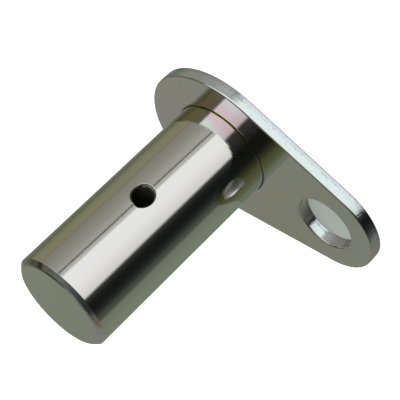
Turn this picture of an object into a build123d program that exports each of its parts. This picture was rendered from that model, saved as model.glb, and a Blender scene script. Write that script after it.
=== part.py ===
from build123d import *
from math import sqrt
import os

# Flag-headed clevis pin: a turned pin welded into a blanked, pear-shaped steel flag.
# Millimetres. The origin is on the pin's axis at the flag's back face. +Z runs along the pin to
# its free end, and +X runs along the flag to its bolt hole.

# Driving dimensions: the pin
PIN_DIAMETER = 25.0
SHANK_LENGTH = 54.0  # from the flag's front face to the free end
SPIGOT_STEP = 0.2  # how much smaller the radius is where the pin sits in the flag
END_CHAMFER = 1.15  # at 45 degrees, round the free end
CROSS_HOLE_DIAMETER = 5.5
CROSS_HOLE_HEIGHT = 27.0  # above the flag's front face, half way along the shank
CROSS_HOLE_BREAK = 0.5  # depth of the 45 degree deburring at both mouths

# Driving dimensions: the flag
FLAG_THICKNESS = 3.2
HEAD_RADIUS = 21.1  # the round end, concentric with the pin
TAIL_RADIUS = 13.2  # the round end, concentric with the bolt hole
BOLT_HOLE_DISTANCE = 30.5
BOLT_HOLE_DIAMETER = 14.5  # coarse clearance for an M12 bolt
OUTLINE_ROLL = 0.35  # rounding that the blanking die leaves on the front edge
BOLT_HOLE_ROLL = 0.45  # the same on the front rim of the punched bolt hole
PIN_HOLE_ROLL = 0.55  # and on the front rim of the hole that holds the pin
BREAK_OUT_HEIGHT = 1.0  # the punched hole tears open over this height above the back face
BREAK_OUT = 0.15  # and is this much wider in radius at the back

# Driving dimensions: the weld
WELD_DEPTH = 1.5  # each side of the groove is cut back by this much, at 45 degrees
WELD_SINK = 0.25  # the bead's face is hollow by this much, so the flag still lies flat

# Worked out
PIN_RADIUS = PIN_DIAMETER / 2
SPIGOT_RADIUS = PIN_RADIUS - SPIGOT_STEP
CROSS_HOLE_RADIUS = CROSS_HOLE_DIAMETER / 2
BOLT_HOLE_RADIUS = BOLT_HOLE_DIAMETER / 2
TOTAL_HEIGHT = FLAG_THICKNESS + SHANK_LENGTH
CROSS_HOLE_Z = FLAG_THICKNESS + CROSS_HOLE_HEIGHT
# The shank's shoulder comes down on the rolled rim of its hole, just below the front face.
SHOULDER_Z = FLAG_THICKNESS - PIN_HOLE_ROLL + sqrt(PIN_HOLE_ROLL**2 - (PIN_HOLE_ROLL - SPIGOT_STEP) ** 2)


def turned(profile):
    """Revolve a closed (radius, height) profile once round the Z axis."""
    with BuildPart() as body:
        with BuildSketch(Plane.XZ):
            with BuildLine():
                Polyline(*profile, close=True)
            make_face()
        revolve(axis=Axis.Z)
    return body.part


def make_pin():
    """The turned bar: spigot with weld bevel, shoulder, shank and chamfered free end, cross-drilled."""
    bar = turned(
        [
            (0, 0),
            (SPIGOT_RADIUS - WELD_DEPTH, 0),
            (SPIGOT_RADIUS, WELD_DEPTH),
            (SPIGOT_RADIUS, SHOULDER_Z),
            (PIN_RADIUS, SHOULDER_Z),
            (PIN_RADIUS, TOTAL_HEIGHT - END_CHAMFER),
            (PIN_RADIUS - END_CHAMFER, TOTAL_HEIGHT),
            (0, TOTAL_HEIGHT),
        ]
    )
    # The deburring tool's 45 degree cone is as deep outside the shank as it is inside it.
    drill = Cylinder(CROSS_HOLE_RADIUS, 2 * PIN_DIAMETER)
    deburr = Cone(CROSS_HOLE_RADIUS, CROSS_HOLE_RADIUS + 2 * CROSS_HOLE_BREAK, 2 * CROSS_HOLE_BREAK)
    cutter = drill + [Rotation(X=turn) * Pos(Z=PIN_RADIUS) * deburr for turn in (0, 180)]
    return bar - Pos(Z=CROSS_HOLE_Z) * Rotation(X=90) * cutter


def make_flag_plate():
    """The blanked flag: two arcs and their common tangents, with both holes punched from the front."""
    with BuildPart() as flag:
        with BuildSketch():
            with BuildLine():
                CenterArc((0, 0), HEAD_RADIUS, 0, 360)
                CenterArc((BOLT_HOLE_DISTANCE, 0), TAIL_RADIUS, 0, 360)
            make_hull()
        extrude(amount=FLAG_THICKNESS)
        fillet(flag.faces().sort_by(Axis.Z)[-1].outer_wire().edges(), OUTLINE_ROLL)

        for distance, radius, roll in (
            (0, SPIGOT_RADIUS, PIN_HOLE_ROLL),
            (BOLT_HOLE_DISTANCE, BOLT_HOLE_RADIUS, BOLT_HOLE_ROLL),
        ):
            with Locations((distance, 0, FLAG_THICKNESS)):
                Hole(radius)
            rims = flag.faces().sort_by(Axis.Z)[-1].inner_wires().edges()
            fillet(rims.filter_by(lambda rim: abs(rim.arc_center.X - distance) < radius), roll)

        # Seen from the back: the bevel for the weld, and the bolt hole's torn break-out.
        for distance, radius, widening, height in (
            (0, SPIGOT_RADIUS, WELD_DEPTH, WELD_DEPTH),
            (BOLT_HOLE_DISTANCE, BOLT_HOLE_RADIUS, BREAK_OUT, BREAK_OUT_HEIGHT),
        ):
            with Locations((distance, 0, height / 2)):
                Cone(radius + widening, radius, height, mode=Mode.SUBTRACT)
    return flag.part


def make_weld_bead():
    """The ring of weld that fills the groove between spigot and flag, its face a little hollow."""
    inner = (SPIGOT_RADIUS - WELD_DEPTH, 0)
    root = (SPIGOT_RADIUS, WELD_DEPTH)
    outer = (SPIGOT_RADIUS + WELD_DEPTH, 0)
    with BuildPart() as bead:
        with BuildSketch(Plane.XZ):
            with BuildLine():
                Polyline(inner, root, outer)
                ThreePointArc(outer, (SPIGOT_RADIUS, WELD_SINK), inner)
            make_face()
        revolve(axis=Axis.Z)
    return bead.part


os.makedirs("parts", exist_ok=True)
export_step(make_pin(), "parts/pin.step")
export_step(make_flag_plate(), "parts/flag_plate.step")
export_step(make_weld_bead(), "parts/weld_bead.step")
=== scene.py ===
import math

import bmesh
import bpy
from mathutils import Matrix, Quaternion, Vector, noise
from mathutils.geometry import delaunay_2d_cdt


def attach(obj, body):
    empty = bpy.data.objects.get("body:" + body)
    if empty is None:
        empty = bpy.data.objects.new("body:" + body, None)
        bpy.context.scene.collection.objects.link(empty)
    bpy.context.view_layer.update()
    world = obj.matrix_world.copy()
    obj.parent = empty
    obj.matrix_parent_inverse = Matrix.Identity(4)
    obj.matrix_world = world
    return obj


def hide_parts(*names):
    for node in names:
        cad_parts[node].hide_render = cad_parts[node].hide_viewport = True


MM = 0.001
DEG = math.radians(1)

# The camera: where it stands, seen from the aim point, and its roll about the line of sight.
CAMERA_AIM = Vector((7.67, 5.68, 19.52)) * MM
CAMERA_DISTANCE = 330.3 * MM
CAMERA_BEARING = 68.21  # degrees, from +X towards +Y
CAMERA_ELEVATION = 23.39
CAMERA_ROLL = 134.25 * DEG
CAMERA_LENS = 134.2  # millimetres on a 36 mm sensor

# Sizes of the solids, in millimetres, as in part.py.
PIN_RADIUS = 12.5
SPIGOT_RADIUS = 12.3
SHOULDER_HEIGHT = 3.0
PIN_TOP = 57.2
END_CHAMFER = 1.15
CROSS_HOLE_RADIUS = 2.75
CROSS_HOLE_HEIGHT = 30.2
CROSS_HOLE_BREAK = 0.5
FLAG_THICKNESS = 3.2
HEAD_RADIUS = 21.1
TAIL_RADIUS = 13.2
BOLT_HOLE_X = 30.5
BOLT_HOLE_RADIUS = 7.25
WELD_DEPTH = 1.5


def towards(bearing, elevation):
    """The unit vector that points to a bearing and elevation, both in degrees."""
    level = math.cos(elevation * DEG)
    east = math.cos(bearing * DEG) * level
    north = math.sin(bearing * DEG) * level
    return Vector((east, north, math.sin(elevation * DEG)))


def smooth(value, low, high):
    """0 up to low, 1 from high, smooth between them."""
    t = min(1.0, max(0.0, (value - low) / (high - low)))
    return t * t * (3 - 2 * t)


def add_camera():
    toward = towards(CAMERA_BEARING, CAMERA_ELEVATION)
    data = bpy.data.cameras.new("camera")
    data.lens = CAMERA_LENS
    data.sensor_width = 36
    camera = bpy.data.objects.new("camera", data)
    level = (-toward).to_track_quat("-Z", "Y")
    camera.rotation_mode = "QUATERNION"
    camera.rotation_quaternion = level @ Quaternion((0, 0, 1), -CAMERA_ROLL)
    camera.location = CAMERA_AIM + toward * CAMERA_DISTANCE
    bpy.context.scene.collection.objects.link(camera)
    bpy.context.scene.camera = camera


class Nodes:
    """A short way to write a node tree: add() makes a node, sets its inputs and links them."""

    def __init__(self, tree):
        self.tree = tree
        tree.nodes.clear()

    def add(self, kind, inputs=None, **settings):
        node = self.tree.nodes.new(kind)
        for name, value in settings.items():
            setattr(node, name, value)
        for name, value in (inputs or {}).items():
            if isinstance(value, bpy.types.NodeSocket):
                self.tree.links.new(value, node.inputs[name])
            else:
                node.inputs[name].default_value = value
        return node

    def math(self, operation, a, b=0.0, c=0.0):
        return self.add("ShaderNodeMath", {0: a, 1: b, 2: c}, operation=operation).outputs[0]

    def times(self, a, b):
        return self.math("MULTIPLY", a, b)

    def one_minus(self, a):
        return self.math("SUBTRACT", 1.0, a)

    def mix(self, factor, a, b, blend="MIX"):
        node = self.add("ShaderNodeMix", {"Factor": factor}, data_type="RGBA", blend_type=blend)
        for name, value in (("A", a), ("B", b)):
            socket = next(s for s in node.inputs if s.name == name and s.type == "RGBA")
            if isinstance(value, bpy.types.NodeSocket):
                self.tree.links.new(value, socket)
            else:
                socket.default_value = (*value, 1)
        return next(s for s in node.outputs if s.type == "RGBA")

    def ramp(self, factor, stops, interpolation="LINEAR"):
        """stops is a list of (position, (r, g, b))."""
        node = self.add("ShaderNodeValToRGB", {"Fac": factor})
        node.color_ramp.interpolation = interpolation
        elements = node.color_ramp.elements
        while len(elements) > 1:
            elements.remove(elements[0])
        elements[0].position = stops[0][0]
        elements[0].color = (*stops[0][1], 1)
        for position, colour in stops[1:]:
            elements.new(position).color = (*colour, 1)
        return node.outputs["Color"]

    def between(self, value, low, high):
        """0 up to low, 1 from high, smooth between them."""
        inputs = {"Value": value, "From Min": low, "From Max": high}
        return self.add("ShaderNodeMapRange", inputs, interpolation_type="SMOOTHSTEP").outputs[0]

    def band(self, value, low, high, blur):
        """1 between low and high, 0 outside, with edges as soft as blur."""
        rise = self.between(value, low - blur / 2, low + blur / 2)
        return self.times(rise, self.one_minus(self.between(value, high - blur / 2, high + blur / 2)))

    def around(self, bearing, stops):
        """A ramp right round the horizon: stops is a list of (bearing in degrees from -180, colour)."""
        factor = self.math("MULTIPLY_ADD", bearing, 1 / 360, 0.5)
        return self.ramp(factor, [(b / 360 + 0.5, colour) for b, colour in stops] + [(1.0, stops[0][1])])

    def noise(self, vector, scale, detail=2.0, roughness=0.5):
        inputs = {"Vector": vector, "Scale": scale, "Detail": detail, "Roughness": roughness}
        return self.add("ShaderNodeTexNoise", inputs).outputs["Fac"]

    def distance(self, a, b):
        """The length of the flat vector (a, b)."""
        return self.math("SQRT", self.math("ADD", self.times(a, a), self.times(b, b)))


# The studio that the metal mirrors: at the height of the shank's reflections, about 20 degrees below
# the horizon, then at the height that the flag's face mirrors, and then overhead.
STUDIO_LOW = [
    (-180, (0.26, 0.255, 0.20)),
    (-166, (0.20, 0.21, 0.165)),
    (-156, (0.135, 0.15, 0.115)),
    (-146, (0.155, 0.175, 0.135)),
    (-128, (0.25, 0.26, 0.225)),
    (-108, (0.235, 0.26, 0.215)),
    (-80, (0.20, 0.24, 0.19)),
    (-55, (0.225, 0.25, 0.18)),
    (-30, (0.195, 0.215, 0.165)),
    (-23, (0.18, 0.20, 0.155)),
    (-19, (0.092, 0.105, 0.085)),
    (-8, (0.056, 0.066, 0.056)),
    (0, (0.024, 0.027, 0.024)),
    (13, (0.010, 0.010, 0.011)),
    (26, (0.012, 0.012, 0.012)),
    (34, (0.03, 0.032, 0.03)),
    (100, (0.43, 0.435, 0.395)),
    (119, (0.405, 0.405, 0.365)),
    (130, (0.34, 0.335, 0.29)),
    (146, (0.29, 0.283, 0.245)),
    (156, (0.275, 0.26, 0.225)),
    (163, (0.235, 0.215, 0.19)),
    (168, (0.27, 0.26, 0.21)),
    (176, (0.25, 0.24, 0.19)),
]
STUDIO_MIDDLE = [
    (-180, (0.155, 0.14, 0.085)),
    (-161, (0.09, 0.086, 0.055)),
    (-140, (0.21, 0.20, 0.165)),
    (-119, (0.29, 0.284, 0.265)),
    (-109, (0.235, 0.245, 0.20)),
    (-102, (0.245, 0.26, 0.235)),
    (-80, (0.205, 0.24, 0.20)),
    (-62, (0.205, 0.235, 0.18)),
    (-45, (0.145, 0.155, 0.09)),
    (-22, (0.10, 0.105, 0.045)),
    (-8, (0.042, 0.046, 0.02)),
    (6, (0.011, 0.013, 0.009)),
    (34, (0.008, 0.008, 0.007)),
    (60, (0.035, 0.04, 0.037)),
    (140, (0.15, 0.14, 0.11)),
    (170, (0.165, 0.15, 0.095)),
]
STUDIO_HIGH = [
    (-180, (0.05, 0.055, 0.04)),
    (-100, (0.035, 0.045, 0.02)),
    (-86, (0.05, 0.06, 0.04)),
    (-72, (0.24, 0.27, 0.235)),
    (-45, (0.17, 0.18, 0.165)),
    (-30, (0.12, 0.125, 0.115)),
    (-19, (0.025, 0.03, 0.024)),
    (0, (0.032, 0.038, 0.031)),
    (30, (0.055, 0.06, 0.058)),
    (60, (0.075, 0.08, 0.078)),
    (95, (0.125, 0.13, 0.13)),
    (130, (0.18, 0.185, 0.18)),
    (160, (0.13, 0.14, 0.13)),
]
# The softbox from its right edge to its left, as seen from the part.
SOFTBOX = [(0, (0.80, 0.79, 0.775)), (0.2, (0.90, 0.89, 0.88)), (0.5, (0.98, 0.97, 0.96)), (1, (1, 1, 1))]
UNDERFOOT = (0.55, 0.55, 0.53)
OVERHEAD = (0.24, 0.25, 0.24)
REFLECTOR = (0.53, 0.53, 0.49)
PANEL_GAP = (0.07, 0.07, 0.065)
CLAMP = (0.02, 0.022, 0.02)


def build_world():
    world = bpy.data.worlds.new("studio")
    bpy.context.scene.world = world
    world.use_nodes = True
    n = Nodes(world.node_tree)
    direction = n.add("ShaderNodeTexCoord").outputs["Generated"]
    axes = n.add("ShaderNodeSeparateXYZ", {0: direction}).outputs
    bearing = n.math("DEGREES", n.math("ARCTAN2", axes["Y"], axes["X"]))
    height = n.math("DEGREES", n.math("ARCSINE", axes["Z"]))

    # Seen from the part, the softbox's right edge is plumb up to 15 degrees below the horizon and leans
    # left above that. Its left edge leans left from low down. Beside the left edge are a pale reflector
    # and the thin dark gap between two panels.
    lean = n.math("ADD", n.math("MINIMUM", n.math("MAXIMUM", height, -32), 45), 21.4)
    leaning = n.math("MULTIPLY_ADD", lean, -0.88, bearing)
    upright = n.math("MULTIPLY_ADD", n.math("MAXIMUM", n.math("ADD", height, 15), 0), -0.87, bearing)
    inside = n.times(n.between(upright, 36.5, 44), n.one_minus(n.between(leaning, 97.5, 103.5)))
    inside = n.times(inside, n.band(height, -40, 45, 8))
    glow = n.ramp(n.between(upright, 40, 100), SOFTBOX)
    below = n.mix(n.between(height, -75, -55), UNDERFOOT, n.around(bearing, STUDIO_LOW))
    beside = n.times(n.band(leaning, 96, 108, 2), n.one_minus(n.between(height, 0, 20)))
    below = n.mix(beside, below, REFLECTOR)
    gap = n.times(n.band(leaning, 108.9, 111.5, 1), n.one_minus(n.between(height, -10, 10)))
    below = n.mix(gap, below, PANEL_GAP)
    studio = n.mix(n.between(height, 4, 23), below, n.around(bearing, STUDIO_MIDDLE))
    studio = n.mix(n.between(height, 44, 58), studio, n.around(bearing, STUDIO_HIGH))
    studio = n.mix(n.between(height, 77, 83), studio, OVERHEAD)
    # One small dark clamp hangs low behind the pin.
    clamp = n.add("ShaderNodeVectorMath", {0: direction, 1: towards(-178, 39)}, operation="DOT_PRODUCT")
    clamp = n.between(clamp.outputs["Value"], math.cos(7 * DEG), math.cos(4 * DEG))
    studio = n.mix(clamp, studio, CLAMP)
    seen = n.mix(inside, studio, glow)

    camera_ray = n.add("ShaderNodeLightPath").outputs["Is Camera Ray"]
    colour = n.mix(camera_ray, seen, (1, 1, 1))
    background = n.add("ShaderNodeBackground", {"Color": colour, "Strength": 1.0})
    n.add("ShaderNodeOutputWorld", {"Surface": background.outputs[0]})


FLOOR_SIZE = 3.0  # metres, each way from the middle
FLOOR_LIFT = 0.55  # how far the floor is lifted to white where the camera sees it
FLOOR_MATTE = (0.9, 0.9, 0.9)
# Painted shade: a pale grey green disc, darker than the floor, under the bolt hole, which the hole frames:
# as the camera sees it, and as paint.
SHADE_PAINTED_UNDER_BOLT_HOLE = (0.30, 0.335, 0.29)
SHADE_PAINTED_UNDER_BOLT_HOLE_MATTE = (0.22, 0.245, 0.22)


def add_floor():
    mesh = bpy.data.meshes.new("floor")
    s = FLOOR_SIZE
    mesh.from_pydata([(-s, -s, 0), (s, -s, 0), (s, s, 0), (-s, s, 0)], [], [(0, 1, 2, 3)])
    floor = bpy.data.objects.new("floor", mesh)
    bpy.context.scene.collection.objects.link(floor)
    material = bpy.data.materials.new("floor")
    material.use_nodes = True
    n = Nodes(material.node_tree)
    position = n.add("ShaderNodeTexCoord").outputs["Object"]
    centre = Vector((BOLT_HOLE_X, 0, 0)) * MM
    reach = n.add("ShaderNodeVectorMath", {0: position, 1: centre}, operation="DISTANCE").outputs["Value"]
    # Painted shade: a darker grey green disc on the floor under the bolt hole.
    painted_shade_disc = n.one_minus(n.between(reach, 8 * MM, 8.4 * MM))
    matte_colour = n.mix(painted_shade_disc, FLOOR_MATTE, SHADE_PAINTED_UNDER_BOLT_HOLE_MATTE)
    white_colour = n.mix(painted_shade_disc, (1, 1, 1), SHADE_PAINTED_UNDER_BOLT_HOLE)
    matte = n.add("ShaderNodeBsdfDiffuse", {"Color": matte_colour}).outputs[0]
    white = n.add("ShaderNodeEmission", {"Color": white_colour, "Strength": FLOOR_LIFT}).outputs[0]
    path = n.add("ShaderNodeLightPath").outputs["Is Camera Ray"]
    lift = n.add("ShaderNodeMixShader", {0: path, 2: white}).outputs[0]
    both = n.add("ShaderNodeAddShader", {0: matte, 1: lift}).outputs[0]
    n.add("ShaderNodeOutputMaterial", {"Surface": both})
    mesh.materials.append(material)
    floor.visible_glossy = False


def add_lamp(name, bearing, elevation, distance, size, power):
    data = bpy.data.lights.new(name, "AREA")
    data.shape = "DISK"
    data.size = size
    data.energy = power
    lamp = bpy.data.objects.new(name, data)
    toward = towards(bearing, elevation)
    lamp.location = toward * distance
    lamp.rotation_mode = "QUATERNION"
    lamp.rotation_quaternion = (-toward).to_track_quat("-Z", "Y")
    lamp.visible_glossy = False
    bpy.context.scene.collection.objects.link(lamp)


class Mesh:
    """Points in millimetres, each with its normal where the mirror finish needs it exact, and faces."""

    def __init__(self):
        self.points = []
        self.normals = []
        self.faces = []

    def point(self, place, normal=(0, 0, 0)):
        self.points.append(tuple(place))
        self.normals.append(tuple(normal))
        return len(self.points) - 1

    def ring(self, places, normals=None):
        return [self.point(place, normals[i] if normals else (0, 0, 0)) for i, place in enumerate(places)]

    def bridge(self, first, second):
        for i in range(len(first)):
            j = (i + 1) % len(first)
            self.faces.append((first[i], first[j], second[j], second[i]))

    def bridge_all(self, rings):
        for first, second in zip(rings, rings[1:]):
            self.bridge(first, second)

    def fan(self, ring, middle):
        for i, index in enumerate(ring):
            self.faces.append((index, ring[(i + 1) % len(ring)], middle))

    def piece(self, name, slot, material, replaced):
        mesh = bpy.data.meshes.new(name)
        mesh.from_pydata([tuple(c * MM for c in p) for p in self.points], [], self.faces)
        shell = bmesh.new()
        shell.from_mesh(mesh)
        bmesh.ops.recalc_face_normals(shell, faces=shell.faces)
        shell.to_mesh(mesh)
        shell.free()
        mesh.polygons.foreach_set("use_smooth", [True] * len(mesh.polygons))
        mesh.normals_split_custom_set_from_vertices(self.normals)
        mesh.materials.append(material)
        piece = bpy.data.objects.new(name, mesh)
        bpy.context.scene.collection.objects.link(piece)
        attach(piece, "root")
        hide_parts(replaced)
        return piece


# ---- The flag -------------------------------------------------------------------------------------

OUTLINE_STEP = 0.35
FACE_GRID = 1.5
FACE_REACH = 70  # how far out the grid of points inside the face is tried
FACE_MARGIN = 0.9  # how far inside its edges the grid stays
SLIVER_AREA = 0.002  # twice the area of a triangle, under which it is a sliver of the fill
BOLT_HOLE_POINTS = 180
PIN_HOLE_POINTS = 256
OUTLINE_ROLL = 0.38  # across and down: the rounding that the die leaves on the front edge
PIN_HOLE_ROLL = 0.95  # the same on the rim of the pin's hole, across
PIN_HOLE_ROLL_DEPTH = 0.42  # and down
BOLT_HOLE_ROLL = 0.35
OUTLINE_BACK_EDGE = 0.2  # the slope from the wall's foot to the back face, across
BOLT_HOLE_BACK_EDGE = 0.3
WALL_LEVELS = (2.55, 2.2, 1.85, 1.55, 1.3, 1.1, 0.9, 0.7, 0.5, 0.3, 0.12)
OUTLINE_TEAR = 1.0  # how rough the torn part of the wall is
BOLT_HOLE_TEAR = 1.6
WAVE_HEIGHT = 0.012  # how far from flat the sheet is
WAVES = ((0.21, 0.13, 0.4, 0.45), (-0.12, 0.33, 1.9, 0.3), (0.42, -0.27, 4.1, 0.15))


def pear(inset):
    """The flag's outline, moved inwards by inset: a list of (place, outward normal)."""
    tilt = math.acos((HEAD_RADIUS - TAIL_RADIUS) / BOLT_HOLE_X)
    flank = math.sqrt(BOLT_HOLE_X**2 - (HEAD_RADIUS - TAIL_RADIUS) ** 2)
    loop = []

    def arc(x, radius, start, end):
        count = round(radius * (end - start) / OUTLINE_STEP)
        for i in range(count):
            angle = start + (end - start) * i / count
            out = Vector((math.cos(angle), math.sin(angle)))
            loop.append((Vector((x, 0)) + out * (radius - inset), out))

    def run(angle):
        count = round(flank / OUTLINE_STEP)
        out = Vector((math.cos(angle), math.sin(angle)))
        head = out * (HEAD_RADIUS - inset)
        tail = Vector((BOLT_HOLE_X, 0)) + out * (TAIL_RADIUS - inset)
        ends = (tail, head) if angle > 0 else (head, tail)
        for i in range(count):
            loop.append((ends[0].lerp(ends[1], i / count), out))

    arc(BOLT_HOLE_X, TAIL_RADIUS, -tilt, tilt)
    run(tilt)
    arc(0, HEAD_RADIUS, tilt, 2 * math.pi - tilt)
    run(-tilt)
    return loop


def circle(x, radius, count):
    """A loop like pear() round a hole: the normals point into the hole."""
    loop = []
    for i in range(count):
        angle = 2 * math.pi * i / count
        out = Vector((math.cos(angle), math.sin(angle)))
        loop.append((Vector((x, 0)) + out * radius, -out))
    return loop


def bolt_hole(inset):
    return circle(BOLT_HOLE_X, BOLT_HOLE_RADIUS + inset, BOLT_HOLE_POINTS)


def pin_hole(inset):
    return circle(0, SPIGOT_RADIUS + inset, PIN_HOLE_POINTS)


def wave(x, y):
    """How far the rolled sheet is from flat, with its slopes in x and y."""
    height = slope_x = slope_y = 0.0
    for kx, ky, phase, share in WAVES:
        turn = kx * x + ky * y + phase
        height += share * math.sin(turn)
        slope_x += share * kx * math.cos(turn)
        slope_y += share * ky * math.cos(turn)
    return WAVE_HEIGHT * height, WAVE_HEIGHT * slope_x, WAVE_HEIGHT * slope_y


def face_point(mesh, place, level, side):
    """A point of the flag's front or back face. The wave never leaves the solid."""
    height, slope_x, slope_y = wave(*place)
    height -= WAVE_HEIGHT
    normal = Vector((-slope_x, -slope_y, 1)).normalized()
    if side > 0:
        return mesh.point((*place, level + height), normal)
    return mesh.point((*place, level - height), (normal.x, normal.y, -normal.z))


def face_grid():
    """Places in rows, every other row half a step along, wherever the face has room for them."""
    places = []
    count = int(FACE_REACH / FACE_GRID)
    for row in range(-count, count):
        for column in range(-count, count):
            place = Vector(((column + row % 2 / 2) * FACE_GRID, row * FACE_GRID * 0.87))
            if clear_of_edges(place) > FACE_MARGIN:
                places.append(place)
    return places


def fill_face(mesh, loops, level, side):
    """Fill the flat face between loops of point numbers with triangles: the outline, then the holes."""
    border, loop_of, edges = [], [], []
    for number, loop in enumerate(loops):
        start = len(border)
        border += loop
        loop_of += [number] * len(loop)
        edges += [(start + i, start + (i + 1) % len(loop)) for i in range(len(loop))]
    grid = face_grid()
    loop_of += [None] * len(grid)
    flat = [Vector(mesh.points[i][:2]) for i in border] + grid
    numbers = border + [face_point(mesh, place, level, side) for place in grid]
    result = delaunay_2d_cdt(flat, edges, [], 2, 1e-5, True)
    origin = [ids[0] for ids in result[3]]
    triangles = []
    for face in result[2]:
        corners = [origin[i] for i in face]
        touched = {loop_of[c] for c in corners}
        in_hole = len(touched) == 1 and not touched & {0, None}
        if not in_hole:
            a, b, c = (flat[i] for i in corners)
            triangles.append((abs((b - a).cross(c - a)), corners, None in touched))
    # Along the straight flanks the fill adds slivers. Each loop edge takes one triangle, the largest, and
    # a triangle on no loop edge has to reach the grid or be more than a sliver.
    free = {frozenset(edge) for edge in edges}
    rim = set(free)
    for area, corners, on_grid in sorted(triangles, reverse=True):
        sides = {frozenset(pair) for pair in zip(corners, corners[1:] + corners[:1])} & rim
        if sides <= free and (sides or on_grid or area > SLIVER_AREA):
            free -= sides
            mesh.faces.append(tuple(numbers[i] for i in corners))


def clear_of_edges(place):
    """How far a place is inside the flag's outline and outside both holes and their rolls."""
    tilt = math.acos((HEAD_RADIUS - TAIL_RADIUS) / BOLT_HOLE_X)
    mirrored = Vector((place.x, abs(place.y)))
    across = Vector((math.cos(tilt), math.sin(tilt)))
    along = mirrored.dot(Vector((across.y, -across.x)))
    tangent = math.sqrt(BOLT_HOLE_X**2 - (HEAD_RADIUS - TAIL_RADIUS) ** 2)
    tail = (mirrored - Vector((BOLT_HOLE_X, 0))).length
    if along < 0:
        outline = HEAD_RADIUS - mirrored.length
    elif along > tangent:
        outline = TAIL_RADIUS - tail
    else:
        outline = HEAD_RADIUS - mirrored.dot(across)
    pin_hole = mirrored.length - SPIGOT_RADIUS - WELD_DEPTH
    return min(outline - OUTLINE_ROLL, pin_hole, tail - BOLT_HOLE_RADIUS - BOLT_HOLE_ROLL)


def sheared(place, height, rough):
    """How far a sheared wall is cut back at a height: fine upright scores, then torn metal below."""
    x, y = place
    tear = FLAG_THICKNESS * (0.36 + 0.12 * noise.noise((x * 0.22, y * 0.22, 3.1)))
    scores = 0.0035 * (1 + noise.noise((x * 1.7, y * 1.7, height * 0.3)))
    torn = 0.02 + 0.018 * rough * (1 + noise.noise((x * 1.1, y * 1.1, height * 1.6 + 9)))
    return scores + torn * (1 - smooth(height, tear - 0.25, tear + 0.2))


ROLL_STEPS = 7


def roll_steps(across, down):
    """A rolled rim from the front face down, as (angle, inset, level, lean of the normal)."""
    steps = []
    for step in range(ROLL_STEPS + 1):
        angle = 0.5 * math.pi * step / ROLL_STEPS
        inset = across * (1 - math.sin(angle))
        level = FLAG_THICKNESS - down * (1 - math.cos(angle))
        lean = math.atan2(math.sin(angle) * down, math.cos(angle) * across)
        steps.append((angle, inset, level, lean))
    return steps


def rolled_wall(mesh, loop_at, roll, rough):
    """A punched or blanked wall from the front face down: roll, scored wall, torn wall.

    loop_at(inset) gives the loop moved into the metal by inset.
    Returns the rings next to the front face and next to the back face.
    """
    rings = []
    for step, (angle, inset, level, lean) in enumerate(roll_steps(roll, roll)):
        smooth_rim = step < ROLL_STEPS - 1
        places, normals = [], []
        for place, out in loop_at(inset):
            worn = 0.5 * sheared(place, level, rough) * math.sin(angle)
            places.append((*(place - out * worn), level))
            normals.append((*(out * math.sin(lean)), math.cos(lean)) if smooth_rim else (0, 0, 0))
        rings.append(mesh.ring(places, normals))
    for level in WALL_LEVELS:
        places = []
        for place, out in loop_at(0):
            place = place - out * sheared(place, level, rough)
            places.append((*place, level))
        rings.append(mesh.ring(places))
    mesh.bridge_all(rings)
    return rings[0], rings[-1]


def back_edge(mesh, wall, loop_at, setback):
    """Round the wall's last ring over to the back face."""
    places = [(*(place - out * setback), 0.0) for place, out in loop_at(0)]
    ring = mesh.ring(places, [(0, 0, -1)] * len(places))
    mesh.bridge(wall, ring)
    return ring


def make_pin_hole(mesh):
    """The pin's hole: a wide roll, the bore and the bevel for the weld, all as true circles."""
    rings = []
    for _, inset, level, lean in roll_steps(PIN_HOLE_ROLL, PIN_HOLE_ROLL_DEPTH):
        loop = pin_hole(inset)
        normals = [(*(out * math.sin(lean)), math.cos(lean)) for _, out in loop]
        rings.append(mesh.ring([(*place, level) for place, _ in loop], normals))
    for inset, level in ((0, WELD_DEPTH), (WELD_DEPTH, 0)):
        rings.append(mesh.ring([(*place, level) for place, _ in pin_hole(inset)]))
    mesh.bridge_all(rings)
    return rings[0], rings[-1]


def make_flag(material):
    mesh = Mesh()
    front_rim, wall = rolled_wall(mesh, pear, OUTLINE_ROLL, OUTLINE_TEAR)
    back_rim = back_edge(mesh, wall, pear, OUTLINE_BACK_EDGE)
    bolt_front, wall = rolled_wall(mesh, bolt_hole, BOLT_HOLE_ROLL, BOLT_HOLE_TEAR)
    bolt_back = back_edge(mesh, wall, bolt_hole, BOLT_HOLE_BACK_EDGE)
    pin_front, pin_back = make_pin_hole(mesh)
    fill_face(mesh, (front_rim, bolt_front, pin_front), FLAG_THICKNESS, 1)
    fill_face(mesh, (back_rim, bolt_back, pin_back), 0, -1)
    return mesh.piece("flag", "flag_zinc", material, "flag_plate")


# ---- The pin --------------------------------------------------------------------------------------

PIN_COLUMNS = 240
PATCH_COLUMNS = 14  # the square of mesh round each mouth of the cross hole, each way from its middle
PATCH_ROWS = 20
PATCH_HALF_HEIGHT = 4.5
PATCH_RINGS = 7
MOUTH_ROUNDING = 0.06
MOUTH_SHIFT = (0.28, -0.12)  # how far off the bore's axis the deburring tool was set
CHAMFER_SPLIT = 0.22  # the share of the chamfer that the tool's second, flatter pass took
EDGE_ROUNDING = 0.07
SHOULDER_BREAK = 0.05
SHANK_RINGS_BELOW = (8, 14, 20)  # heights of the shank's rings, under and over the patches
SHANK_RINGS_ABOVE = (38, 44, 50, 54)
END_FACE_RINGS = (10, 8, 6, 4, 2, 0.7)  # radii
BORE_STEPS = 8  # from a mouth to the middle of the bore


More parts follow.
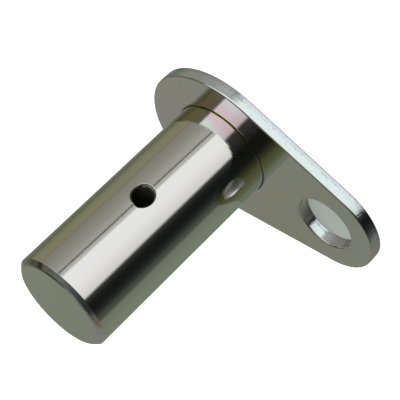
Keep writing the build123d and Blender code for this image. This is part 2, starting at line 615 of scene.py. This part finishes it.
def rounded(corners):
    """A (radius, height) profile with its inner corners rounded, as (radius, height, normal)."""
    points = []
    for before, corner, after in zip(corners, corners[1:], corners[2:]):
        back = (Vector(before) - Vector(corner)).normalized()
        ahead = (Vector(after) - Vector(corner)).normalized()
        first = Vector((-back.y, back.x))
        last = Vector((ahead.y, -ahead.x))
        setback = EDGE_ROUNDING * math.tan(first.angle(last) / 2)
        centre = Vector(corner) + back * setback - first * EDGE_ROUNDING
        for step in range(5):
            normal = first.lerp(last, step / 4).normalized()
            points.append((*(centre + normal * EDGE_ROUNDING), normal))
    return points


def turn(mesh, radius, height, normal=None):
    """One ring of the lathe mesh."""
    places, normals = [], []
    for column in range(PIN_COLUMNS):
        angle = 2 * math.pi * column / PIN_COLUMNS
        out = Vector((math.cos(angle), math.sin(angle)))
        places.append((*(out * radius), height))
        normals.append((*(out * normal[0]), normal[1]) if normal else (0, 0, 0))
    return mesh.ring(places, normals)


def on_shank(mesh, side, along, height):
    """A point of the shank: along is its x, side is +1 or -1 for the sign of its y."""
    y = side * math.sqrt(PIN_RADIUS**2 - along**2)
    return mesh.point((along, y, height), (along / PIN_RADIUS, y / PIN_RADIUS, 0))


def cone_height(out, radius, shift):
    """How far from the pin's axis the deburring cone is at a radius from the cross hole's axis."""
    return PIN_RADIUS - CROSS_HOLE_BREAK + (out * radius - shift).length - CROSS_HOLE_RADIUS


def mouth_radius(out, shift):
    """Where the shank's surface ends at the mouth: at the deburring cone, or on its far side at a burr."""
    low, high = 0.5, 5.0
    for _ in range(30):
        radius = (low + high) / 2
        if cone_height(out, radius, shift) < math.sqrt(PIN_RADIUS**2 - (radius * out.x) ** 2):
            low = radius
        else:
            high = radius
    if low > CROSS_HOLE_RADIUS + 0.1:
        return low
    return CROSS_HOLE_RADIUS + 0.1


def burr_reach(angle):
    """How far the burr hangs over the bore, where the deburring tool, set off centre, has missed it."""
    share = math.degrees(angle) % 360
    lip = smooth(share, 62, 100) * (1 - smooth(share, 205, 222))
    ragged = noise.noise((share * 0.12, 0.4, 2.2)) * smooth(share, 150, 175)
    return 0.62 * lip * (0.85 + 0.15 * math.cos((share - 150) * DEG)) + 0.22 * ragged * lip


def make_mouth(mesh, side, border):
    """The shank from a square border in to the cross hole, its mouth with its burr, and the bore's start.

    border is a list of (point number, x, height above the hole's axis). Returns the bore's first ring.
    """
    shift = Vector(MOUTH_SHIFT) if side > 0 else Vector((0, 0))
    outs = [Vector((along, height)).normalized() for _, along, height in border]
    edges, reaches = [], []
    for out in outs:
        reach = burr_reach(math.atan2(out.y, out.x)) if side > 0 else 0.0
        reaches.append(reach)
        edges.append(mouth_radius(out, shift) - (reach + 0.1 if reach > 0.02 else 0))
    rings = [[number for number, _, _ in border]]
    for step in range(1, PATCH_RINGS + 1):
        share = (1 - step / PATCH_RINGS) ** 1.3
        ring = []
        for out, edge, (_, along, height) in zip(outs, edges, border):
            x = (edge + MOUTH_ROUNDING) * out.x * (1 - share) + along * share
            z = (edge + MOUTH_ROUNDING) * out.y * (1 - share) + height * share
            ring.append(on_shank(mesh, side, x, CROSS_HOLE_HEIGHT + z))
        rings.append(ring)
    facet, corner, bore = [], [], []
    for out, edge, reach in zip(outs, edges, reaches):
        skin = math.sqrt(PIN_RADIUS**2 - (edge * out.x) ** 2)
        if reach > 0.02:
            steps = (
                (edge - 0.02, skin - 0.03, (-out.x * 0.5, side * 0.87, -out.y * 0.5)),
                (edge, skin - 0.1, (-out.x * 0.9, 0, -out.y * 0.9)),
                (CROSS_HOLE_RADIUS, skin - 0.35, (-out.x, 0, -out.y)),
            )
        else:
            rim = min(cone_height(out, CROSS_HOLE_RADIUS, shift), skin - 0.08)
            steps = (
                (edge - MOUTH_ROUNDING, skin - MOUTH_ROUNDING, (-out.x * 0.7, side * 0.7, -out.y * 0.7)),
                (CROSS_HOLE_RADIUS + 0.02, rim + 0.02, (-out.x * 0.75, side * 0.65, -out.y * 0.75)),
                (CROSS_HOLE_RADIUS, rim - 0.05, (-out.x, 0, -out.y)),
            )
        for ring, (radius, y, normal) in zip((facet, corner, bore), steps):
            ring.append(mesh.point((out.x * radius, side * y, CROSS_HOLE_HEIGHT + out.y * radius), normal))
    rings += [facet, corner, bore]
    mesh.bridge_all(rings)
    return bore


def lathe(mesh):
    """The turned bar without the rows that hold the patches. Returns the rings next to those rows."""
    top = rounded(
        [
            (PIN_RADIUS, 50),
            (PIN_RADIUS, PIN_TOP - END_CHAMFER),
            (PIN_RADIUS - END_CHAMFER * (1 - CHAMFER_SPLIT), PIN_TOP - END_CHAMFER * CHAMFER_SPLIT),
            (PIN_RADIUS - END_CHAMFER - 0.1, PIN_TOP),
            (5, PIN_TOP),
        ]
    )
    # From the weld bevel up to the patch rows, and from there to the middle of the end face.
    below = [turn(mesh, SPIGOT_RADIUS - WELD_DEPTH, 0, (0, -1)), turn(mesh, SPIGOT_RADIUS, WELD_DEPTH)]
    below += [turn(mesh, SPIGOT_RADIUS, SHOULDER_HEIGHT)]
    below += [turn(mesh, PIN_RADIUS - SHOULDER_BREAK, SHOULDER_HEIGHT)]
    heights = (SHOULDER_HEIGHT + SHOULDER_BREAK, *SHANK_RINGS_BELOW)
    below += [turn(mesh, PIN_RADIUS, z, (1, 0)) for z in heights]
    above = [turn(mesh, PIN_RADIUS, z, (1, 0)) for z in SHANK_RINGS_ABOVE]
    above += [turn(mesh, radius, height, normal) for radius, height, normal in top]
    above += [turn(mesh, radius, PIN_TOP, (0, 1)) for radius in END_FACE_RINGS]
    mesh.bridge_all(below)
    mesh.bridge_all(above)
    mesh.fan(above[-1], mesh.point((0, 0, PIN_TOP), (0, 0, 1)))
    mesh.fan(below[0], mesh.point((0, 0, 0), (0, 0, -1)))
    return below[-1], above[0]


def patch_column(side, across):
    """The lathe column that lies across from a patch's middle, which points along +Y or -Y."""
    quarter = PIN_COLUMNS // 4
    return quarter - across if side > 0 else 3 * quarter + across


def patch_rows(mesh):
    """The rows round the shank that hold the patches, both squares left open: points by (column, row)."""
    inside = {}
    for side in (1, -1):
        for across in range(-PATCH_COLUMNS, PATCH_COLUMNS + 1):
            inside[patch_column(side, across)] = abs(across) < PATCH_COLUMNS
    grid = {}
    for row in range(PATCH_ROWS + 1):
        height = CROSS_HOLE_HEIGHT - PATCH_HALF_HEIGHT + 2 * PATCH_HALF_HEIGHT * row / PATCH_ROWS
        for column in range(PIN_COLUMNS):
            if inside.get(column) and 0 < row < PATCH_ROWS:
                continue
            angle = 2 * math.pi * column / PIN_COLUMNS
            out = (math.cos(angle), math.sin(angle), 0)
            grid[column, row] = mesh.point((out[0] * PIN_RADIUS, out[1] * PIN_RADIUS, height), out)
    for row in range(PATCH_ROWS):
        for column in range(PIN_COLUMNS):
            after = (column + 1) % PIN_COLUMNS
            if column in inside and after in inside and (inside[column] or inside[after]):
                continue
            corners = ((column, row), (after, row), (after, row + 1), (column, row + 1))
            mesh.faces.append(tuple(grid[corner] for corner in corners))
    return grid


def make_bore(mesh, first, last):
    """The drilled wall from the mouth on the +Y side to the other, a little uneven."""
    rings = [first]
    reach = PIN_RADIUS - CROSS_HOLE_BREAK - 0.6
    for step in range(1, 2 * BORE_STEPS):
        y = reach * (1 - step / BORE_STEPS)
        ring = []
        for number in first:
            x, _, z = mesh.points[number]
            swell = 1 + 0.012 * (1 + noise.noise((x * 0.5, y * 2.2, z * 0.5)))
            ring.append(mesh.point((x * swell, y, CROSS_HOLE_HEIGHT + (z - CROSS_HOLE_HEIGHT) * swell)))
        rings.append(ring)
    mesh.bridge_all(rings + [last])


def make_pin(material):
    mesh = Mesh()
    lower, upper = lathe(mesh)
    grid = patch_rows(mesh)
    mesh.bridge(lower, [grid[column, 0] for column in range(PIN_COLUMNS)])
    mesh.bridge([grid[column, PATCH_ROWS] for column in range(PIN_COLUMNS)], upper)

    wide, tall = PATCH_COLUMNS, PATCH_ROWS
    square = [(c, 0) for c in range(-wide, wide)] + [(wide, row) for row in range(tall)]
    square += [(c, tall) for c in range(wide, -wide, -1)] + [(-wide, row) for row in range(tall, 0, -1)]
    bores = []
    for side in (1, -1):
        border = []
        for across, row in square:
            number = grid[patch_column(side, across), row]
            x, _, z = mesh.points[number]
            border.append((number, x, z - CROSS_HOLE_HEIGHT))
        bores.append(make_mouth(mesh, side, border))
    make_bore(mesh, *bores)
    return mesh.piece("pin_bar", "pin_zinc", material, "pin")


# ---- The weld -------------------------------------------------------------------------------------

WELD_COLUMNS = 480
WELD_ROWS = 14
WELD_HOLLOW = 0.25
RIPPLE_PITCH = 1.15
RIPPLE_HEIGHT = 0.1


def make_weld(material):
    """The bead in the groove at the back: a hollow face with the crescent ripples of the weld pool."""
    mesh = Mesh()
    circumference = 2 * math.pi * SPIGOT_RADIUS
    turns = round(circumference / RIPPLE_PITCH)
    rings = []
    for row in range(WELD_ROWS + 1):
        across = 2 * row / WELD_ROWS - 1
        places = []
        for column in range(WELD_COLUMNS):
            angle = 2 * math.pi * column / WELD_COLUMNS
            out = Vector((math.cos(angle), math.sin(angle)))
            uneven = noise.noise((out.x * 5, out.y * 5, across * 0.7))
            phase = turns * angle / (2 * math.pi) + 0.42 * across**2 + 0.12 * uneven
            crest = (phase % 1.0) ** 1.6
            crest = crest if phase % 1.0 < 0.9 else crest * (1 - phase % 1.0) / 0.1
            bow = 1 - across**2
            height = WELD_HOLLOW * bow - RIPPLE_HEIGHT * crest * bow + 0.03 * uneven * bow
            radius = SPIGOT_RADIUS + across * WELD_DEPTH
            places.append((*(out * radius), max(0.0, height)))
        rings.append(mesh.ring(places))
    root = []
    for column in range(WELD_COLUMNS):
        angle = 2 * math.pi * column / WELD_COLUMNS
        root.append((SPIGOT_RADIUS * math.cos(angle), SPIGOT_RADIUS * math.sin(angle), WELD_DEPTH))
    rings.append(mesh.ring(root))
    for first, second in zip(rings, rings[1:] + rings[:1]):
        mesh.bridge(first, second)
    return mesh.piece("weld_ripples", "weld_zinc", material, "weld_bead")


# ---- Materials ------------------------------------------------------------------------------------

NEUTRAL = (0.78, 0.785, 0.775)
OLIVE = (0.79, 0.775, 0.66)
LAVENDER = (0.785, 0.735, 0.81)
GREENISH = (0.71, 0.79, 0.72)
YELLOWED = (1.0, 0.99, 0.78)
END_FILM = (0.70, 0.775, 0.65)
TURNED = (0.74, 0.765, 0.75)
TURNED_PALE = (1.0, 0.86, 1.0)
SHEARED = (0.76, 0.88, 0.88)
SHEARED_HEAD = (0.86, 0.92, 0.97)
SHEARED_TAIL = (0.71, 0.67, 0.77)
TORN = (0.88, 0.80, 0.90)  # times the colour above it
CREAM = (0.82, 0.80, 0.70)
# Painted reflection: the pink and lilac next to the pin on the flag's face.
PINK_PAINTED_REFLECTION = (0.80, 0.61, 0.65)
LILAC_PAINTED_REFLECTION = (0.73, 0.72, 0.78)
# Painted shade: the dull green, darker patch beside the pin.
SHADE_PAINTED_GREEN = (0.74, 0.80, 0.72)
# Painted highlight, then painted shade: the olive glint on the roll round the pin and the dark groove.
GROOVE_PAINTED_GLINT = (0.42, 0.42, 0.13)
GROOVE_PAINTED_SHADE = (0.07, 0.10, 0.06)
HOLE_DULL = (0.80, 0.80, 0.78)
HOLE_LILAC = (0.78, 0.76, 0.82)
# Painted shade: the near black of the drilled bore.
BORE_PAINTED_SHADE = (0.035, 0.036, 0.026)


def new_material(name):
    material = bpy.data.materials.new(name)
    material.use_nodes = True
    n = Nodes(material.node_tree)
    metres = n.add("ShaderNodeTexCoord").outputs["Object"]
    place = n.add("ShaderNodeVectorMath", {0: metres, "Scale": 1 / MM}, operation="SCALE").outputs["Vector"]
    return material, n, place


def facing_up(n):
    """The upward part of the face's normal: 1 on a level face, 0 on a wall."""
    normal = n.add("ShaderNodeNewGeometry").outputs["True Normal"]
    return n.add("ShaderNodeSeparateXYZ", {0: normal}).outputs[2]


def stretched(n, place, x, y, z):
    """The place in millimetres, times a factor along each axis: large where the pattern is fine."""
    return n.add("ShaderNodeVectorMath", {0: place, 1: (x, y, z)}, operation="MULTIPLY").outputs["Vector"]


def finish(n, colour, roughness, height, depth, metallic=1.0):
    """Plated metal: height is the bump, depth its full range in metres."""
    bump = n.add("ShaderNodeBump", {"Height": height, "Distance": depth, "Strength": 1.0}).outputs["Normal"]
    inputs = {"Base Color": colour, "Metallic": metallic, "Roughness": roughness, "Normal": bump}
    shader = n.add("ShaderNodeBsdfPrincipled", inputs)
    n.add("ShaderNodeOutputMaterial", {"Surface": shader.outputs[0]})


def iridescence(n, place, factors, strength):
    """The faint rainbow of the passivated zinc: olive, lavender and green patches over neutral."""
    film = n.noise(stretched(n, place, *factors), 1.0, 3.0, 0.55)
    stops = [(0.30, GREENISH), (0.42, NEUTRAL), (0.52, OLIVE), (0.62, NEUTRAL), (0.72, LAVENDER)]
    return n.mix(strength, NEUTRAL, n.ramp(film, stops))


def pin_material():
    material, n, place = new_material("pin_zinc")
    x, y, z = n.add("ShaderNodeSeparateXYZ", {0: place}).outputs
    colour = iridescence(n, place, (0.35, 0.35, 0.05), 0.15)
    marks = n.noise(stretched(n, place, 0.5, 0.5, 3.2), 1.0, 3.0)
    pores = n.noise(stretched(n, place, 1, 1, 1), 2.5, 4.0)
    height = n.math("MULTIPLY_ADD", pores, 0.35, marks)
    smear = n.noise(stretched(n, place, 0.3, 0.3, 0.12), 1.0, 3.0)
    roughness = n.math("MULTIPLY_ADD", smear, 0.04, 0.035)
    # Yellower on one side of the shank, from about 112 to 150 degrees round it.
    turned_to = n.math("DEGREES", n.math("ARCTAN2", y, x))
    side = n.band(turned_to, 112, 150, 14)
    colour = n.mix(side, colour, n.mix(1.0, colour, YELLOWED, "MULTIPLY"))

    # The chamfer and the end face: a facing tool's marks, duller and a little mottled.
    end = n.between(z, PIN_TOP - END_CHAMFER - 0.05, PIN_TOP - END_CHAMFER + 0.05)
    flat = n.between(facing_up(n), 0.9, 0.98)
    film = n.noise(stretched(n, place, 0.16, 0.16, 0.16), 1.0, 3.0)
    film_colour = n.ramp(film, [(0.38, (0.75, 0.755, 0.73)), (0.5, END_FILM), (0.62, (0.71, 0.79, 0.59))])
    chatter = n.noise(stretched(n, place, 1.3, 1.3, 5), 1.0, 3.0, 0.6)
    # The chamfer is paler and pinker towards +X.
    turned_colour = n.mix(n.between(x, 8.5, 11.5), TURNED, TURNED_PALE)
    dark_marks = n.ramp(chatter, [(0.35, (0.7, 0.7, 0.7)), (0.55, (1, 1, 1))])
    turned_colour = n.mix(1.0, turned_colour, dark_marks, "MULTIPLY")
    colour = n.mix(end, colour, n.mix(flat, turned_colour, film_colour))
    roughness = n.math("MULTIPLY_ADD", end, 0.09, roughness)
    height = n.math("MULTIPLY_ADD", n.times(n.times(end, n.one_minus(flat)), chatter), 0.7, height)
    # The drilled bore: a rougher, less metallic finish, and painted shade, near black. On the +Y side the
    # painted shade follows the off-centre mouth.
    shifted = n.math("GREATER_THAN", y, 0.0)
    aside = n.math("SUBTRACT", x, n.times(shifted, MOUTH_SHIFT[0]))
    above = n.math("SUBTRACT", n.math("SUBTRACT", z, CROSS_HOLE_HEIGHT), n.times(shifted, MOUTH_SHIFT[1]))
    from_axis = n.distance(aside, above)
    bore = n.one_minus(n.between(from_axis, CROSS_HOLE_RADIUS, CROSS_HOLE_RADIUS + 0.12))
    deep_painted_shade = n.one_minus(n.between(n.math("ABSOLUTE", y), 11.3, 11.5))
    deep_painted_shade = n.times(deep_painted_shade, n.one_minus(n.between(from_axis, 3.6, 3.7)))
    bore = n.math("MAXIMUM", bore, n.times(deep_painted_shade, n.one_minus(n.between(z, 40, 41))))
    colour = n.mix(bore, colour, BORE_PAINTED_SHADE)
    roughness = n.math("MULTIPLY_ADD", bore, 0.5, roughness)
    metallic = n.one_minus(n.times(bore, 0.6))
    finish(n, colour, roughness, height, 6e-6, metallic)
    return material


def flag_material():
    material, n, place = new_material("flag_zinc")
    x, y, z = n.add("ShaderNodeSeparateXYZ", {0: place}).outputs
    upright = n.one_minus(n.between(n.math("ABSOLUTE", facing_up(n)), 0.3, 0.6))
    rolled = n.between(z, 2.78, 2.86)
    edge = n.times(upright, n.one_minus(rolled))

    colour = iridescence(n, place, (0.13, 0.18, 0.1), 1.0)
    radius = n.distance(x, y)
    # Next to the pin the face is painted pink, more on one side, and lilac further out: a painted reflection
    # of the pin.
    patch = n.noise(stretched(n, place, 0.3, 0.3, 0.3), 1.0, 3.0)
    outwards = n.math("MULTIPLY_ADD", patch, 4.0, radius)
    warm = n.ramp(n.between(outwards, 17.5, 21.5), [(0, PINK_PAINTED_REFLECTION), (1, LILAC_PAINTED_REFLECTION)])
    sine = n.math("DIVIDE", y, radius)
    side = n.times(n.between(sine, 0.82, 0.94), n.between(x, -7, -5.2))
    side = n.times(side, n.between(z, 1, 2))
    colour = n.mix(n.times(side, n.one_minus(n.between(radius, 20, 25))), colour, warm)
    # Painted shade: a dull green, darker patch lies beside it, towards the rim, standing in for a darker
    # reflection there.
    shade = n.times(n.between(x, -2.5, -5), n.between(sine, 0.72, 0.84))
    colour = n.mix(n.times(shade, n.between(radius, 14.5, 18)), colour, SHADE_PAINTED_GREEN)
    # Painted highlight: the outer part of the roll round the pin is painted olive yellow between 52 and 122
    # degrees, a painted glint. Painted shade: the groove next to the pin is painted dark.
    rolled_rim = SPIGOT_RADIUS + PIN_HOLE_ROLL
    groove = n.one_minus(n.between(radius, rolled_rim - 0.25 * PIN_HOLE_ROLL, rolled_rim))
    glint_side = n.band(n.math("DEGREES", n.math("ARCTAN2", y, x)), 52, 122, 16)
    colour = n.mix(n.times(groove, glint_side), colour, GROOVE_PAINTED_GLINT)
    # Painted shade: the groove next to the pin is painted dark.
    groove = n.one_minus(n.between(radius, PIN_RADIUS + 0.12, PIN_RADIUS + 0.36))
    colour = n.mix(groove, colour, GROOVE_PAINTED_SHADE)
    # The rolled edge is bright and warm. Below it the blanked wall is cool, duller and torn at the back.
    colour = n.mix(n.times(upright, rolled), colour, CREAM)
    sheared_colour = n.mix(n.one_minus(n.between(x, -3, 6)), SHEARED, SHEARED_HEAD)
    sheared_colour = n.mix(n.between(x, 38.5, 41), sheared_colour, SHEARED_TAIL)
    # The punched bolt hole: dull on the side of the pin, lilac beyond.
    to_hole = n.math("SUBTRACT", x, BOLT_HOLE_X)
    from_hole = n.distance(to_hole, y)
    hole = n.one_minus(n.between(from_hole, BOLT_HOLE_RADIUS + 1, BOLT_HOLE_RADIUS + 1.5))
    dull_side = n.math("ADD", n.times(to_hole, math.cos(205 * DEG)), n.times(y, math.sin(205 * DEG)))
    dull = n.times(hole, n.between(n.math("DIVIDE", dull_side, from_hole), 0.89, 0.95))
    sheared_colour = n.mix(n.times(hole, n.between(to_hole, -1.5, 2.5)), sheared_colour, HOLE_LILAC)
    sheared_colour = n.mix(dull, sheared_colour, HOLE_DULL)
    mottle = n.noise(stretched(n, place, 2.0, 2.0, 1.6), 1.0, 3.0, 0.6)
    torn = n.one_minus(n.between(n.math("MULTIPLY_ADD", mottle, 1.2, z), 1.1, 1.9))
    sheared_colour = n.mix(torn, sheared_colour, n.mix(1.0, sheared_colour, TORN, "MULTIPLY"))
    dark_specks = n.ramp(mottle, [(0.3, (0.84, 0.84, 0.84)), (0.45, (1, 1, 1))])
    sheared_colour = n.mix(1.0, sheared_colour, dark_specks, "MULTIPLY")
    colour = n.mix(edge, colour, sheared_colour)

    grain = n.noise(stretched(n, place, 0.5, 1.6, 1), 1.0, 3.0)
    speckle = n.noise(stretched(n, place, 2.4, 2.4, 1.8), 1.0, 2.0, 0.6)
    height = n.math("MULTIPLY_ADD", n.times(edge, speckle), 9.0, grain)
    smear = n.noise(stretched(n, place, 0.12, 0.2, 0.1), 1.0, 3.0)
    roughness = n.math("MULTIPLY_ADD", smear, 0.06, 0.06)
    roughness = n.math("MULTIPLY_ADD", edge, 0.06, roughness)
    roughness = n.math("MULTIPLY_ADD", dull, 0.3, roughness)
    finish(n, colour, roughness, height, 3e-6)
    return material


def weld_material():
    material, n, place = new_material("weld_zinc")
    spots = n.noise(stretched(n, place, 1, 1, 1), 0.9, 4.0)
    colour = n.ramp(spots, [(0.3, (0.50, 0.50, 0.47)), (0.5, (0.68, 0.68, 0.65)), (0.7, (0.62, 0.60, 0.52))])
    grit = n.noise(stretched(n, place, 3, 3, 3), 1.0, 4.0)
    roughness = n.math("MULTIPLY_ADD", spots, 0.25, 0.2)
    finish(n, colour, roughness, grit, 1.5e-5)
    return material


# ---- The scene ------------------------------------------------------------------------------------

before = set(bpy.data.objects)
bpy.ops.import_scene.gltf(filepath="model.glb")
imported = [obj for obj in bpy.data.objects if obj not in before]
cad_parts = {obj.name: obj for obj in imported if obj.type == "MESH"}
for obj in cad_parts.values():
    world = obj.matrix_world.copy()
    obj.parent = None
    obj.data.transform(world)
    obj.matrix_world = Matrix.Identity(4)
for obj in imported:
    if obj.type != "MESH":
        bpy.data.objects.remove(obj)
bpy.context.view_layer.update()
bpy.context.scene.view_settings.view_transform = "Standard"
add_camera()
build_world()
add_floor()
add_lamp("key", 70, 55, 0.9, 0.7, 6)
add_lamp("fill", 200, 60, 0.9, 0.7, 4)
make_flag(flag_material())
make_pin(pin_material())
make_weld(weld_material())
